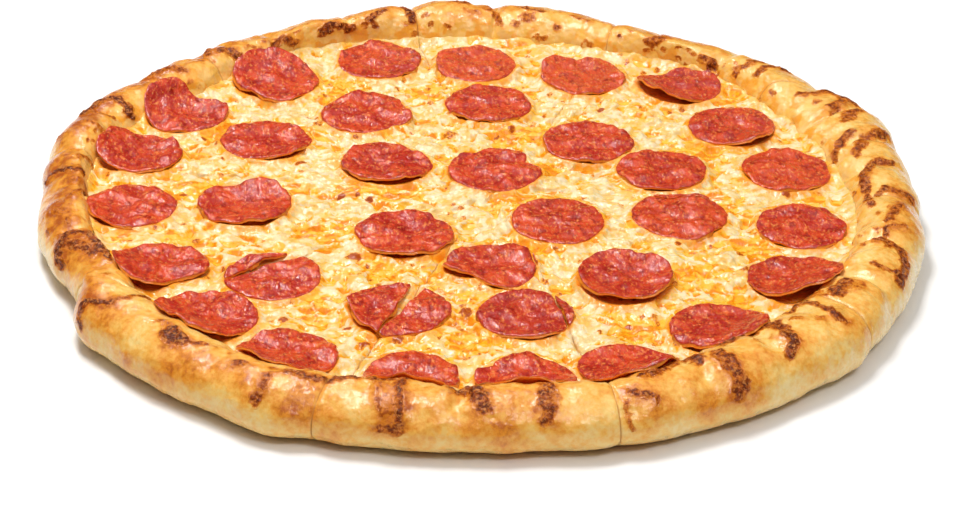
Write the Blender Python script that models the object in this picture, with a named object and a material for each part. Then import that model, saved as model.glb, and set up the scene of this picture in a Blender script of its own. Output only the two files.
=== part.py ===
"""A round family pizza cut in ten slices: each slice is a crust with its own layer of cheese,
and thirty-five slices of cured sausage lie on top, five of them cut through by the knife.
Sizes are in millimetres and are turned into metres when the meshes are made. +Z is up, -Y is the
front, and the origin is the middle of the flat underside."""

import functools
import math

import bmesh
import bpy
import numpy as np

MM = 0.001
# Plan position that becomes the origin
MIDDLE = (-0.726, 3.570)

# Crust and cheese
FLOOR_TOP = 8.0
CHEESE_TOP = 12.0
LAYER_GAP = 0.35
WALL_CLEAR = 0.5
EQUATOR = 9.0
OUTER_HALF = 15.5
COLUMNS = 12
TIP = 3.0

# The knife crossed the pizza five times, a little off its middle
CUT_GAP = 0.55
CUT_CENTRE = (6.1, 10.1)
CUTS = (355.14, 37.15, 70.0, 104.12, 141.64, 175.14, 217.15, 250.0, 284.12, 321.64)
CUT_SWING = {1: (-4.5, 142.0, 168.0), 6: (-8.0, 163.0, 186.0)}

# Rim by angle, a row each 12 degrees: outer radius, height of the crest, radius where the cheese ends
RIM = (
    (179.0, 22.5, 150.0),
    (181.5, 22.5, 148.5),
    (188.0, 23.0, 149.5),
    (182.0, 22.5, 151.5),
    (181.0, 22.5, 156.5),
    (176.0, 22.5, 157.5),
    (178.5, 23.5, 153.0),
    (181.0, 24.0, 152.5),
    (183.0, 24.5, 155.0),
    (180.0, 24.5, 158.0),
    (178.0, 23.5, 159.0),
    (181.0, 23.5, 155.0),
    (180.0, 23.0, 152.5),
    (184.5, 23.0, 157.5),
    (184.5, 23.0, 161.0),
    (178.5, 22.0, 160.5),
    (178.0, 22.0, 156.0),
    (174.0, 22.5, 153.0),
    (180.5, 23.0, 151.5),
    (181.0, 23.0, 153.0),
    (180.5, 23.0, 154.0),
    (179.5, 23.0, 149.5),
    (176.0, 23.0, 147.0),
    (174.5, 23.0, 148.0),
    (178.0, 23.5, 150.5),
    (178.0, 24.0, 145.0),
    (179.0, 24.0, 143.5),
    (180.5, 23.5, 145.0),
    (178.0, 23.0, 148.0),
    (178.5, 22.5, 150.0),
)

# Folds and swellings of the rim: angle, how far it sinks, how far it draws in, half width in degrees
FOLDS = (
    (8.0, 1.2, 0.6, 2.4),
    (16.5, 1.4, 0.9, 2.6),
    (25.5, 1.4, 0.6, 2.6),
    (31.0, 0.4, -1.0, 2.2),
    (43.0, 0.3, -0.8, 2.2),
    (50.0, 1.1, 0.8, 2.6),
    (62.0, 0.7, 0.3, 3.0),
    (79.5, -0.9, -0.4, 2.6),
    (88.5, 1.3, 0.6, 2.6),
    (98.0, -0.9, -0.4, 2.4),
    (106.5, -0.9, -0.4, 2.4),
    (112.0, 0.7, 0.5, 2.4),
    (118.0, -0.9, -0.4, 2.4),
    (126.0, 1.0, 0.6, 2.6),
    (133.0, 1.0, 1.2, 2.4),
    (149.0, 1.4, 0.8, 2.4),
    (160.0, 0.9, -0.4, 2.8),
    (183.0, 0.9, 0.4, 2.6),
    (195.0, 1.4, 0.6, 3.0),
    (204.0, 0.4, 1.8, 2.4),
    (214.0, -0.3, -2.0, 3.0),
    (236.0, 0.8, 0.6, 3.0),
    (244.0, 0.0, -2.2, 3.0),
    (256.0, 0.4, 1.4, 3.0),
    (268.0, 1.5, 0.3, 2.2),
    (299.0, 1.0, 0.4, 2.6),
    (311.0, 1.1, 0.4, 2.6),
    (334.0, 1.6, 0.6, 2.8),
    (346.0, 1.4, 0.6, 2.6),
)
CUT_DIP = (1.2, 1.6, 1.6)

# Cured sausage: thickness, and how thin the edge gets
SLICE_THICK = 1.9
EDGE_THICK = 1.3
SECTORS = 18
RINGS = (0.5, 0.85)
UNDER_RING = 0.6

# Each piece: number, x, y, radius, how deep a cup it makes, dents (angle, depth, half width in degrees)
# and bends (angle, height, share of the radius where the bend starts)
SAUSAGE = (
    (1, -47.0, 130.0, 18.6, 0.4, [(270, -0.8, 20)], []),
    (2, -3.5, 127.5, 18.0, 0.3, [(150, -2.0, 12), (115, 1.4, 18)], [(160, 1.0, 0.3)]),
    (3, -90.5, 107.5, 19.0, 0.3, [(283, -2.0, 16), (20, 0.8, 30), (240, 1.0, 16)], []),
    (4, 44.0, 117.5, 18.7, 0.3, [(100, 3.4, 12), (140, -1.2, 14)], [(140, 3.0, 0.3)]),
    (5, 86.5, 110.0, 18.2, 0.3, [(122, 5.0, 24), (165, -2.6, 14)], [(222, 6.0, 0.1)]),
    (6, -128.0, 72.5, 18.6, 0.3, [(58, 6.0, 24), (18, -1.8, 14), (155, 2.8, 28)], [(20, 2.0, 0.4)]),
    (7, -50.5, 76.0, 18.8, 0.4, [(345, -1.4, 14), (312, 1.8, 14), (110, 0.8, 20)], [(75, 1.0, 0.3)]),
    (8, 2.0, 88.5, 18.4, 0.4, [(350, -0.8, 20)], []),
    (9, 106.5, 71.0, 18.8, 0.3, [(112, 1.6, 12), (220, -1.0, 16)], [(300, 3.0, 0.35)]),
    (10, -91.0, 49.0, 18.6, 0.4, [(180, -1.2, 12), (0, -1.2, 12), (45, 0.8, 20)], [(300, 2.4, 0.35)]),
    (11, 44.0, 53.0, 18.8, 0.5, [(355, -1.0, 14)], []),
    (12, -143.0, 34.0, 18.4, 0.3, [(95, 2.4, 14), (255, 1.8, 22), (165, 2.0, 24)], [(290, 1.6, 0.4)]),
    (13, -39.5, 30.5, 18.9, 0.4, [(52, 3.0, 28), (0, -0.6, 20)], [(275, 2.6, 0.2), (135, 1.4, 0.3)]),
    (14, 5.0, 25.5, 19.0, 0.4, [(117, 2.6, 9), (30, 3.4, 9), (355, -1.4, 14)], [(150, 1.2, 0.3), (75, 1.0, 0.3)]),
    (15, 74.5, 28.5, 18.8, 0.5, [(98, 1.8, 10), (270, 1.2, 40)], []),
    (16, 126.0, 30.0, 18.6, 0.5, [], []),
    (17, -140.5, -11.5, 18.4, 0.3, [(150, 1.0, 14)], [(200, 3.0, 0.3)]),
    (18, -95.0, -8.0, 19.0, 0.4, [(105, 2.2, 14), (330, 1.0, 14)], [(60, 1.6, 0.3), (280, 1.8, 0.4)]),
    (19, 31.0, -17.0, 18.9, 0.6, [], []),
    (20, 79.5, -11.0, 19.4, 0.3, [(20, -0.6, 16), (270, 0.8, 40), (215, 1.2, 12)], [(340, 0.8, 0.4)]),
    (21, 128.0, -18.0, 18.6, 0.3, [(92, 2.4, 10), (68, 1.2, 8), (270, 0.8, 40)], []),
    (22, -30.0, -30.5, 19.2, 0.4, [(170, -1.2, 10), (48, 1.8, 7), (20, -0.6, 20)], [(265, 2.2, 0.4)]),
    (23, -122.5, -62.0, 18.7, 0.3, [(305, 7.0, 24), (350, -0.8, 14)], [(320, 1.4, 0.2)]),
    (24, -79.5, -66.0, 18.6, 0.3, [], [(30, 0.8, 0.4)]),
    (25, 4.5, -54.0, 18.2, 0.3, [(240, 6.6, 18), (198, -1.2, 10)], [(235, 3.2, 0.2)]),
    (26, 56.0, -64.0, 18.5, 3.6, [], []),
    (27, 121.5, -60.0, 18.6, 0.3, [(55, -1.4, 10)], [(270, 3.6, -0.4)]),
    (28, -30.0, -89.0, 19.2, 0.3, [(172, -1.4, 10), (254, -3.0, 7)], [(190, 3.4, 0.2)]),
    (29, 17.5, -91.5, 18.4, 0.5, [(60, 0.8, 16)], [(280, 1.6, 0.4)]),
    (30, -101.5, -97.5, 19.4, 0.4, [(75, 1.2, 20)], []),
    (31, 89.5, -99.0, 18.8, 0.3, [(55, 1.8, 9)], [(40, 1.2, 0.4)]),
    (32, -70.0, -125.0, 18.7, 0.3, [(270, 2.0, 30)], []),
    (33, -24.5, -138.0, 18.2, 0.3, [(170, 1.0, 16), (270, 4.0, 34)], []),
    (34, 17.5, -140.0, 18.8, 0.3, [(140, 1.6, 9), (270, 5.0, 34)], [(160, 1.2, 0.4)]),
    (35, 55.0, -129.5, 18.8, 0.3, [(235, -2.0, 9), (90, 0.8, 30), (290, 3.6, 24)], []),
)

# Pieces that the knife went through: which cut, width of the gap, how far the halves open in degrees
SPLIT = {20: (0, 0.9, 0.0), 24: (6, 0.7, 7.0), 25: (8, 0.7, 0.0), 28: (7, 0.8, 7.0), 29: (8, 0.8, 0.0)}


def wrap(angle):
    return (angle + 180.0) % 360.0 - 180.0


def bump(angle, at, half):
    """One at the angle, falling to nothing about two half widths away."""
    return np.exp(-0.5 * (wrap(angle - at) / half) ** 2)


def rim_shape(theta):
    """Outer radius, crest height and cheese radius of the rim at angles about the middle, in degrees."""
    table = np.array(RIM)
    step = 360.0 / len(table)
    place = (theta % 360.0) / step
    first = np.floor(place).astype(int) % len(table)
    part = place - np.floor(place)
    part = part * part * (3.0 - 2.0 * part)
    rows = table[first] + (table[(first + 1) % len(table)] - table[first]) * part[..., None]
    outer, height, inner = rows[..., 0], rows[..., 1], rows[..., 2]
    for at, sink, draw, half in FOLDS:
        near = bump(theta, at, half)
        height = height - sink * near
        outer = outer - draw * near
    for cut in range(len(CUTS)):
        near = bump(theta, rim_angle(cut), CUT_DIP[2])
        height = height - CUT_DIP[0] * near
        outer = outer - CUT_DIP[1] * near
    return outer, height, inner


@functools.cache
def rim_lookup():
    theta = np.arange(0.0, 360.25, 0.25)
    return theta, rim_shape(theta)


def rim(theta):
    """The rim's three sizes, read from rim_shape worked out once at each quarter of a degree."""
    known, sizes = rim_lookup()
    return tuple(np.interp(np.asarray(theta, float) % 360.0, known, size) for size in sizes)


def cut_angle(cut, reach):
    """Direction of a cut, seen from the point where the cuts cross, at a distance from it."""
    swing, near, far = CUT_SWING.get(cut % len(CUTS), (0.0, 0.0, 1.0))
    part = np.clip((np.asarray(reach, float) - near) / (far - near), 0.0, 1.0)
    return CUTS[cut % len(CUTS)] + swing * part * part * (3.0 - 2.0 * part)


def rim_angle(cut):
    """Angle about the middle at which a cut leaves the rim."""
    way = math.radians(float(cut_angle(cut, 180.0)))
    x = CUT_CENTRE[0] + 165.0 * math.cos(way)
    y = CUT_CENTRE[1] + 165.0 * math.sin(way)
    return math.degrees(math.atan2(y, x))


def crest_of(outer):
    return outer - OUTER_HALF


def wall_height(radius, outer, height, inner):
    """Top of the rim at a radius between the cheese and the crest."""
    crest = crest_of(outer)
    side = np.where(radius > crest, OUTER_HALF, crest - inner)
    part = np.clip(np.abs(radius - crest) / side, 0.0, 1.0)
    return EQUATOR + (height - EQUATOR) * np.sqrt(1.0 - part * part)


def cheese_height(x, y):
    """Gentle rise and fall of the melted cheese."""
    waves = 0.35 * np.sin(x / 17.0 + 0.6) * np.cos(y / 21.0 - 0.4)
    waves = waves + 0.25 * np.sin((x + y) / 11.0) * np.sin((x - 0.7 * y) / 13.0 + 1.1)
    return CHEESE_TOP + waves


def ground(x, y):
    """Height of whatever a sausage slice lies on: the cheese, then the rising wall of the rim."""
    radius = np.hypot(x, y)
    outer, height, inner = rim(np.degrees(np.arctan2(y, x)))
    wall = wall_height(radius, outer, height, inner) + WALL_CLEAR * np.clip((radius - inner) / 8.0, 0.0, 1.0)
    return np.where(radius > inner, np.maximum(wall, cheese_height(x, y)), cheese_height(x, y))


def along(phi, radius_at):
    """Distance from the crossing point, going in direction phi, to the radius that radius_at gives."""
    ux, uy = np.cos(np.radians(phi)), np.sin(np.radians(phi))
    px, py = CUT_CENTRE
    reach = np.full(np.shape(phi), 160.0)
    for _ in range(6):
        theta = np.degrees(np.arctan2(py + reach * uy, px + reach * ux))
        target = radius_at(theta)
        dot = px * ux + py * uy
        reach = -dot + np.sqrt(dot * dot - px * px - py * py + target * target)
    return reach


def slice_point(cut, u, radius_at=None, reach=None):
    """Plan position and rim angle at a share u of the way across a slice."""
    guess = 160.0 if reach is None else reach
    for turn in range(6):
        first = cut_angle(cut, guess)
        last = cut_angle(cut + 1, guess)
        last = last + 360.0 * (last < first)
        margin = math.degrees(0.5 * CUT_GAP / max(guess, 1.0))
        phi = first + margin + u * (last - first - 2.0 * margin)
        if reach is not None:
            break
        if turn < 5:
            guess = float(along(phi, radius_at))
    x = CUT_CENTRE[0] + guess * math.cos(math.radians(float(phi)))
    y = CUT_CENTRE[1] + guess * math.sin(math.radians(float(phi)))
    return x, y, math.degrees(math.atan2(y, x))


def rim_at(theta, which):
    return rim(np.asarray(theta, float))[which]


def crust_section(cut, u):
    """One closed section of a slice of crust, from its tip along the underside, round the rim and back."""
    points = []
    x, y, _ = slice_point(cut, u, reach=TIP)
    points.append((x, y, 0.0))
    x, y, _ = slice_point(cut, u, radius_at=lambda t: rim_at(t, 2) - 0.4)
    points.append((x, y, 0.0))
    x, y, _ = slice_point(cut, u, radius_at=lambda t: crest_of(rim_at(t, 0)) - 2.0)
    points.append((x, y, 0.0))
    for turn in (-62.0, -28.0, 6.0, 36.0, 64.0, 92.0, 120.0, 148.0):
        c, s = math.cos(math.radians(turn)), math.sin(math.radians(turn))

        def radius_at(theta, c=c):
            outer, _, inner = rim(np.asarray(theta, float))
            crest = crest_of(outer)
            return crest + (OUTER_HALF if c > 0 else crest - inner) * c

        x, y, theta = slice_point(cut, u, radius_at=radius_at)
        height = float(rim_at(theta, 1))
        points.append((x, y, EQUATOR + s * (height - EQUATOR if s > 0 else EQUATOR)))
    x, y, _ = slice_point(cut, u, radius_at=lambda t: rim_at(t, 2) - 0.4)
    points.append((x, y, FLOOR_TOP))
    for reach in (95.0, 40.0, TIP):
        x, y, _ = slice_point(cut, u, reach=reach)
        points.append((x, y, FLOOR_TOP))
    return points


def cheese_section(cut, u):
    """One closed section of a slice of cheese, along its underside and back over its top."""
    points = []
    low = FLOOR_TOP + LAYER_GAP
    for reach in (TIP, 95.0):
        x, y, _ = slice_point(cut, u, reach=reach)
        points.append((x, y, low))
    x, y, _ = slice_point(cut, u, radius_at=lambda t: rim_at(t, 2) - 1.6)
    points.append((x, y, low))
    x, y, _ = slice_point(cut, u, radius_at=lambda t: rim_at(t, 2) - 0.5)
    points.append((x, y, float(cheese_height(x, y)) - 0.5))
    x, y, _ = slice_point(cut, u, radius_at=lambda t: rim_at(t, 2) - 2.5)
    points.append((x, y, float(cheese_height(x, y))))
    for reach in (122.0, 98.0, 72.0, 44.0, 20.0, TIP):
        x, y, _ = slice_point(cut, u, reach=reach)
        points.append((x, y, float(cheese_height(x, y))))
    return points


def loft(sections, caps):
    """A closed body through sections with equal numbers of points. Both ends are closed by the same faces."""
    count = len(sections[0])
    points = [p for section in sections for p in section]
    faces = []
    for k in range(len(sections) - 1):
        for i in range(count):
            j = (i + 1) % count
            a, b = k * count + i, k * count + j
            faces.append((a, b, b + count, a + count))
    for cap in caps:
        faces.append(tuple(reversed(cap)))
        faces.append(tuple((len(sections) - 1) * count + i for i in cap))
    return points, faces


def crust_caps():
    """Faces over a section of crust: the flat part, then a fan over the rim."""
    rim_fan = [(2, k, k + 1) for k in range(3, 11)]
    return [(0, 1, 11, 12, 13, 14), (1, 2, 11)] + rim_fan


def cut_side(cut, x, y):
    """Distance to the left of a cut, going outwards from the crossing point."""
    way = math.radians(CUTS[cut])
    return -(x - CUT_CENTRE[0]) * math.sin(way) + (y - CUT_CENTRE[1]) * math.cos(way)


def reach_in_disc(hub, way, row):
    """How far a ray from the hub runs before it leaves the round slice that the row describes."""
    number, cx, cy, radius, _, dents, _ = row
    low, high = 0.0, 60.0
    for _ in range(34):
        mid = 0.5 * (low + high)
        x, y = hub[0] + mid * math.cos(way) - cx, hub[1] + mid * math.sin(way) - cy
        angle = math.degrees(math.atan2(y, x))
        edge = radius + 0.25 * math.sin(math.radians(3 * angle + 70 * number))
        edge += 0.2 * math.sin(math.radians(5 * angle + 41 * number))
        for at, depth, half in dents:
            edge -= depth * float(bump(angle, at, half))
        if math.hypot(x, y) < edge:
            low = mid
        else:
            high = mid
    return low


def bend(share, start):
    return max(0.0, (share - start) / (1.0 - start)) ** 1.7


def sausage_top(row, x, y):
    """Top of a slice: it lies on what is under it, leans on the wall of the rim and bends as the row says."""
    _, cx, cy, radius, cup, _, bends = row
    far = math.hypot(cx, cy)
    out = (cx / far, cy / far)
    dx, dy = (x - cx) / radius, (y - cy) / radius
    centre = float(ground(cx, cy))
    lean = float(ground(cx + 0.94 * radius * out[0], cy + 0.94 * radius * out[1])) - centre
    z = centre + max(0.0, lean) * bend(dx * out[0] + dy * out[1], -0.25)
    z += cup * (dx * dx + dy * dy)
    for angle, height, start in bends:
        way = math.radians(angle)
        z += height * bend(dx * math.cos(way) + dy * math.sin(way), start)
    return max(z, float(ground(x, y))) + LAYER_GAP + 0.3 + SLICE_THICK


def sausage(row, side=0, hub=None):
    """One slice of sausage, or the part of it on one side of its cut."""
    number, cx, cy, radius = row[:4]
    hub = hub or (cx, cy)
    ways = [2.0 * math.pi * k / SECTORS for k in range(SECTORS)]
    reaches = [reach_in_disc(hub, way, row) for way in ways]
    if side:
        cut, gap, opening = SPLIT[number]
        # The gap opens from the end of the cut that is nearer to the rim
        way = math.radians(CUTS[cut])
        reach = (cx - CUT_CENTRE[0]) * math.cos(way) + (cy - CUT_CENTRE[1]) * math.sin(way) + radius
        pivot = (CUT_CENTRE[0] + reach * math.cos(way), CUT_CENTRE[1] + reach * math.sin(way))
        turn = way - 0.5 * side * math.radians(opening)
        normal = (-math.sin(turn) * side, math.cos(turn) * side)
        inside = normal[0] * (hub[0] - pivot[0]) + normal[1] * (hub[1] - pivot[1]) - 0.5 * gap
        ends = []
        for k, way in enumerate(ways):
            lean = -(normal[0] * math.cos(way) + normal[1] * math.sin(way))
            trimmed = inside / lean if lean > 1e-6 else 1e9
            ends.append(trimmed < reaches[k])
            reaches[k] = min(reaches[k], trimmed)
        for k in range(SECTORS):
            if ends[k] == ends[(k + 1) % SECTORS]:
                continue
            low, high = ways[k], ways[k] + 2.0 * math.pi / SECTORS
            for _ in range(30):
                mid = 0.5 * (low + high)
                lean = -(normal[0] * math.cos(mid) + normal[1] * math.sin(mid))
                trimmed = inside / lean if lean > 1e-6 else 1e9
                if (trimmed < reach_in_disc(hub, mid, row)) == ends[k]:
                    low = mid
                else:
                    high = mid
            near = k if low - ways[k] < math.pi / SECTORS else (k + 1) % SECTORS
            ways[near] = low
            lean = -(normal[0] * math.cos(low) + normal[1] * math.sin(low))
            reaches[near] = min(reach_in_disc(hub, low, row), inside / lean if lean > 1e-6 else 1e9)

    def ring(share, drop, inset=0.0):
        found = []
        for way, reach in zip(ways, reaches):
            x = hub[0] + (share * reach - inset) * math.cos(way)
            y = hub[1] + (share * reach - inset) * math.sin(way)
            found.append((x, y, sausage_top(row, x, y) - drop))
        return found

    points = [(hub[0], hub[1], sausage_top(row, hub[0], hub[1]))]
    rings = [ring(share, 0.0) for share in RINGS]
    rings.append(ring(1.0, 0.3))
    rings.append(ring(1.0, 0.3 + EDGE_THICK, 0.25))
    rings.append(ring(UNDER_RING, SLICE_THICK))
    for found in rings:
        points += found
    points.append((hub[0], hub[1], sausage_top(row, hub[0], hub[1]) - SLICE_THICK))
    faces = []
    for k in range(SECTORS):
        j = (k + 1) % SECTORS
        faces.append((0, 1 + k, 1 + j))
        for level in range(len(rings) - 1):
            a = 1 + level * SECTORS
            faces.append((a + k, a + SECTORS + k, a + SECTORS + j, a + j))
        last = 1 + (len(rings) - 1) * SECTORS
        faces.append((last + k, len(points) - 1, last + j))
    return points, faces


def material(name, colour, roughness):
    made = bpy.data.materials.new(name)
    made.use_nodes = True
    shader = made.node_tree.nodes["Principled BSDF"]
    shader.inputs["Base Color"].default_value = (*colour, 1.0)
    shader.inputs["Roughness"].default_value = roughness
    made.diffuse_color = (*colour, 1.0)
    return made


def add(name, body, look, collection):
    points, faces = body
    points = [((x - MIDDLE[0]) * MM, (y - MIDDLE[1]) * MM, z * MM) for x, y, z in points]
    mesh = bpy.data.meshes.new(name)
    mesh.from_pydata(points, [], faces)
    mesh.materials.append(look)
    editing = bmesh.new()
    editing.from_mesh(mesh)
    bmesh.ops.recalc_face_normals(editing, faces=editing.faces)
    editing.to_mesh(mesh)
    editing.free()
    mesh.shade_smooth()
    mesh.set_sharp_from_angle(angle=math.radians(40.0))
    made = bpy.data.objects.new(name, mesh)
    collection.objects.link(made)
    return made


def build():
    for obj in list(bpy.data.objects):
        bpy.data.objects.remove(obj, do_unlink=True)
    pizza = bpy.data.collections.new("sausage_pizza")
    bpy.context.scene.collection.children.link(pizza)
    steps = [k / COLUMNS for k in range(COLUMNS + 1)]
    for cut in range(len(CUTS)):
        label = f"{cut + 1:02d}"
        look = material("crust_" + label, (0.74, 0.45, 0.17), 0.6)
        add("crust_" + label, loft([crust_section(cut, u) for u in steps], crust_caps()), look, pizza)
        look = material("cheese_" + label, (0.93, 0.78, 0.42), 0.45)
        add("cheese_" + label, loft([cheese_section(cut, u) for u in steps], [tuple(range(11))]), look, pizza)
    for row in SAUSAGE:
        label = f"{row[0]:02d}"
        look = material("sausage_" + label, (0.60, 0.07, 0.04), 0.4)
        if row[0] not in SPLIT:
            add("sausage_" + label, sausage(row), look, pizza)
            continue
        cut = SPLIT[row[0]][0]
        away = cut_side(cut, row[1], row[2])
        way = math.radians(CUTS[cut] + 90.0)
        for side in (1, -1):
            # The hub of each part sits halfway between the cut and the round edge on its side
            middle = 0.5 * (0.0 + side * row[3] + away)
            shift = middle - away
            hub = (row[1] + shift * math.cos(way), row[2] + shift * math.sin(way))
            main = side * away > 0
            name = "sausage_" + label + ("" if main else "_cut")
            add(name, sausage(row, side, hub), look if main else look.copy(), pizza)


build()
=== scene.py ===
import itertools
import math

import bpy
import numpy as np
from mathutils import Matrix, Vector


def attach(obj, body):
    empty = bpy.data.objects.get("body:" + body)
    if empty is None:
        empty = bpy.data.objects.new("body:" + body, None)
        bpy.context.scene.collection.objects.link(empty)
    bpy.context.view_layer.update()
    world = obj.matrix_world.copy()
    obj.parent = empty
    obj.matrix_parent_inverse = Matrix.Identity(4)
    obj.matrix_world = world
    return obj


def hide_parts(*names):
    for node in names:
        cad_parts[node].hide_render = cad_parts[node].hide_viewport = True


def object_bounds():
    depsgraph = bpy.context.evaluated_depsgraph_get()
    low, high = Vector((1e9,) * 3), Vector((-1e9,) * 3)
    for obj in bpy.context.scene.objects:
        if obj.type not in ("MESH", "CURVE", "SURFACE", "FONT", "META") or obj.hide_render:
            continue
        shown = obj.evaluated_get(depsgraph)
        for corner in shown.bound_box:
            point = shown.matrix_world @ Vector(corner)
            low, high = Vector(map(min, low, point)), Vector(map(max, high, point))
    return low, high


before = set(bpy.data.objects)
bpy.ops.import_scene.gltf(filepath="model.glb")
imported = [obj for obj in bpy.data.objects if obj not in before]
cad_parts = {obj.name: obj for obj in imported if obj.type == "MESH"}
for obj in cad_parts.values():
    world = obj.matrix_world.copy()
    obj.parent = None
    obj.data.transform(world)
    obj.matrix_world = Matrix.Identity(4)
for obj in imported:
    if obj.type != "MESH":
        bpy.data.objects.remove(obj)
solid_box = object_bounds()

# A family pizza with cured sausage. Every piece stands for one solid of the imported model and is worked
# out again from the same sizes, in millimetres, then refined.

MM = 0.001
STAGE = bpy.context.scene
# Plan position that becomes the origin
MIDDLE = (-0.726, 3.57)

# Crust and cheese: tops of the floor and of the cheese, the gap between the two, the room above the wall
# of the rim, the height where the rim is widest, its outer half and where the tip of a slice starts
FLOOR_TOP = 8
CHEESE_TOP = 12
LAYER_GAP = 0.35
WALL_CLEAR = 0.5
EQUATOR = 9
OUTER_HALF = 15.5
TIP = 3

# Millimetres for a degree over the rim, and for a degree along it
ARCH = 0.27
ROUND = 2.9

# Points over the rim and out along the cheese, and millimetres between the points across a wedge
CRUST_ROWS = 112
CHEESE_ROWS = 166
CRUST_STEP = 0.95
CHEESE_STEP = 0.98

# The knife crossed the pizza five times, a little off its middle
CUT_X, CUT_Y = 6.1, 10.1
CUTS = (355.14, 37.15, 70, 104.12, 141.64, 175.14, 217.15, 250, 284.12, 321.64)
CUT_SWING = {1: (-4.5, 142, 168), 6: (-8, 163, 186)}
SLICES = len(CUTS)

# Rim, every 12 degrees from 0: outer radius, height of the crest, radius where the cheese ends
RIM = (
    (179, 22.5, 150), (181.5, 22.5, 148.5), (188, 23, 149.5), (182, 22.5, 151.5), (181, 22.5, 156.5),
    (176, 22.5, 157.5), (178.5, 23.5, 153), (181, 24, 152.5), (183, 24.5, 155), (180, 24.5, 158),
    (178, 23.5, 159), (181, 23.5, 155), (180, 23, 152.5), (184.5, 23, 157.5), (184.5, 23, 161),
    (178.5, 22, 160.5), (178, 22, 156), (174, 22.5, 153), (180.5, 23, 151.5), (181, 23, 153),
    (180.5, 23, 154), (179.5, 23, 149.5), (176, 23, 147), (174.5, 23, 148), (178, 23.5, 150.5),
    (178, 24, 145), (179, 24, 143.5), (180.5, 23.5, 145), (178, 23, 148), (178.5, 22.5, 150),
)

# Folds and swellings of the rim: angle, how far it sinks, how far it draws in, half width in degrees
FOLDS = (
    (8, 1.2, 0.6, 2.4), (16.5, 1.4, 0.9, 2.6), (25.5, 1.4, 0.6, 2.6), (31, 0.4, -1, 2.2),
    (43, 0.3, -0.8, 2.2), (50, 1.1, 0.8, 2.6), (62, 0.7, 0.3, 3), (79.5, -0.9, -0.4, 2.6),
    (88.5, 1.3, 0.6, 2.6), (98, -0.9, -0.4, 2.4), (106.5, -0.9, -0.4, 2.4), (112, 0.7, 0.5, 2.4),
    (118, -0.9, -0.4, 2.4), (126, 1, 0.6, 2.6), (133, 1, 1.2, 2.4), (149, 1.4, 0.8, 2.4),
    (160, 0.9, -0.4, 2.8), (183, 0.9, 0.4, 2.6), (195, 1.4, 0.6, 3), (204, 0.4, 1.8, 2.4),
    (214, -0.3, -2, 3), (236, 0.8, 0.6, 3), (244, 0, -2.2, 3), (256, 0.4, 1.4, 3), (268, 1.5, 0.3, 2.2),
    (299, 1, 0.4, 2.6), (311, 1.1, 0.4, 2.6), (334, 1.6, 0.6, 2.8), (346, 1.4, 0.6, 2.6),
)
# The dip of the rim at a cut: how far it sinks, how far it draws in, half width in degrees
CUT_DIP = (1.2, 1.6, 1.6)

# Cured sausage: thickness of the solids and of the meshes, points round a slice, rings on its top
SLICE_THICK = 1.9
THIN = 1.2
SECTORS = 132
TOP_RINGS = 20

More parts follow.
